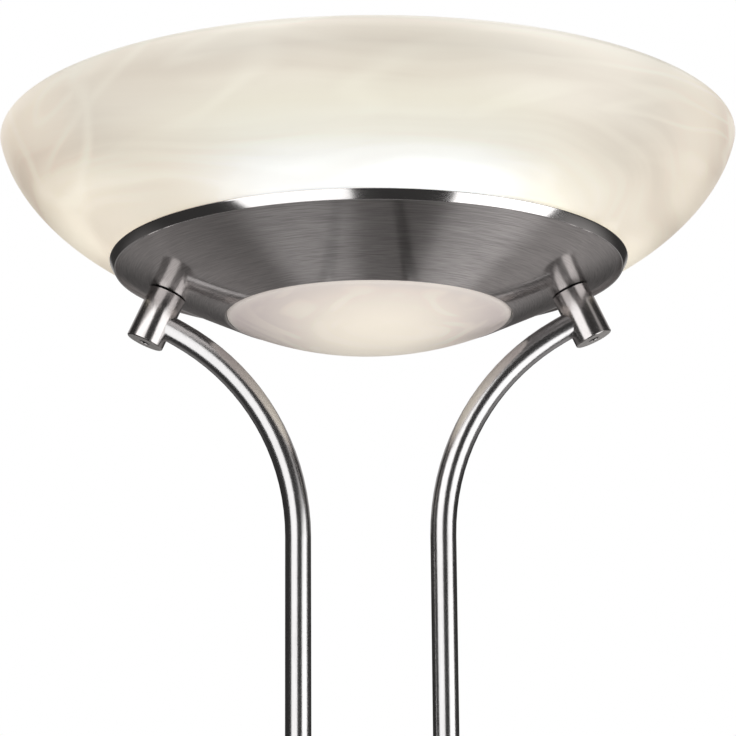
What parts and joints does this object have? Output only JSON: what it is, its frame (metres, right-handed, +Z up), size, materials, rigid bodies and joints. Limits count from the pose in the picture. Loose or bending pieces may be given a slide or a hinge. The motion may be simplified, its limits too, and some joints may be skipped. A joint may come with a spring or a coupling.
{
  "type": "torchiere floor lamp with reading light",
  "caption": "Uplighter floor lamp: shallow alabaster glass bowl on a dished metal pan with a frosted reading-light lens, carried by twin bent tubes on a round weighted base.",
  "frame": {"origin": "centre of the base on the floor", "axes": "+Z up, -Y is the front with the dimmer knobs, the two tubes lie either side along X"},
  "size_m": [0.406, 0.406, 1.8],
  "materials": {
    "alabaster_glass": "frosted alabaster swirl, lit from inside",
    "frosted_glass": "frosted, lit from inside",
    "lamp_quartz": "clear quartz with white ceramic ends",
    "brushed_nickel": "satin nickel plate, brushed round the axis, polished rim",
    "satin_tube": "satin nickel plate",
    "set_screw": "darkened steel",
    "zinc_steel": "zinc plate",
    "spring_steel": "plain spring steel",
    "guard_wire": "nickel-plated wire",
    "bright_aluminium": "bright spun aluminium",
    "brass": "turned brass",
    "cast_iron": "black enamelled casting",
    "ceramic": "unglazed white steatite",
    "silicone": "translucent silicone",
    "foot_rubber": "black foam rubber",
    "lead_sleeve": "white sleeved lead",
    "moulded_body": "black moulded resin",
    "fibre_board": "black pressed fibre"
  },
  "bodies": {
    "lamp": {"base_collars": "satin_tube", "base_cover": "brushed_nickel", "base_nuts": "zinc_steel", "base_washers": "zinc_steel", "base_weight": "cast_iron", "bottom_plate": "fibre_board", "bottom_screws": "zinc_steel", "bowl_gasket": "silicone", "bridge_screws": "set_screw", "bridges": "satin_tube", "couplers": "satin_tube", "deck": "bright_aluminium", "deck_screws": "zinc_steel", "deck_standoffs": "zinc_steel", "dimmer_nuts": "zinc_steel", "dimmers": "moulded_body", "foot_ring": "foot_rubber", "guard_catches": "zinc_steel", "guard_lugs": "zinc_steel", "head_terminals": "ceramic", "housing_caps": "satin_tube", "housing_left": "satin_tube", "housing_right": "satin_tube", "lead_bushings": "silicone", "lens_springs": "spring_steel", "lower_leads": "lead_sleeve", "mains_bushing": "foot_rubber", "mains_terminal": "ceramic", "pan": "brushed_nickel", "post_left": "satin_tube", "post_nipples": "zinc_steel", "post_nuts": "zinc_steel", "post_right": "satin_tube", "post_screws": "set_screw", "reading_lamp": "lamp_quartz", "reading_lampholders": "ceramic", "reading_reflector": "bright_aluminium", "saddle_washers": "zinc_steel", "stem_nipples": "zinc_steel", "tube_ferrules": "brass", "tube_lower_left": "satin_tube", "tube_lower_right": "satin_tube", "tube_middle_left": "satin_tube", "tube_middle_right": "satin_tube", "tube_upper_left": "satin_tube", "tube_upper_right": "satin_tube", "uplight_bracket": "zinc_steel", "uplight_lamp": "lamp_quartz", "uplight_lampholders": "ceramic", "uplight_leads": "lead_sleeve", "uplight_reflector": "bright_aluminium", "upper_leads": "lead_sleeve"},
    "glass_bowl": {"glass_bowl": "alabaster_glass"},
    "lens": {"lens": "frosted_glass"},
    "wire_guard": {"wire_guard": "guard_wire"},
    "knob_left": {"knob_left": "satin_tube", "dimmer_shaft_left": "brass"},
    "knob_right": {"knob_right": "satin_tube", "dimmer_shaft_right": "brass"}
  },
  "joints": [
    {"name": "bowl_lift", "type": "slide", "parent": "lamp", "child": "glass_bowl", "axis": [0, 0, 1], "range_m": [0, 0.15]},
    {"name": "lens_pull", "type": "slide", "parent": "lamp", "child": "lens", "axis": [0, 0, -1], "range_m": [0, 0.018]},
    {"name": "guard_hinge", "type": "hinge", "parent": "lamp", "child": "wire_guard", "pos_m": [0, 0.036, 1.742], "axis": [-1, 0, 0], "range_deg": [0, 100]},
    {"name": "knob_left_turn", "type": "hinge", "parent": "lamp", "child": "knob_left", "pos_m": [-0.0391, -0.02, 1.104], "axis": [0, 1, 0], "range_deg": [0, 270]},
    {"name": "knob_right_turn", "type": "hinge", "parent": "lamp", "child": "knob_right", "pos_m": [0.0391, -0.02, 1.104], "axis": [0, 1, 0], "range_deg": [0, 270]}
  ]
}
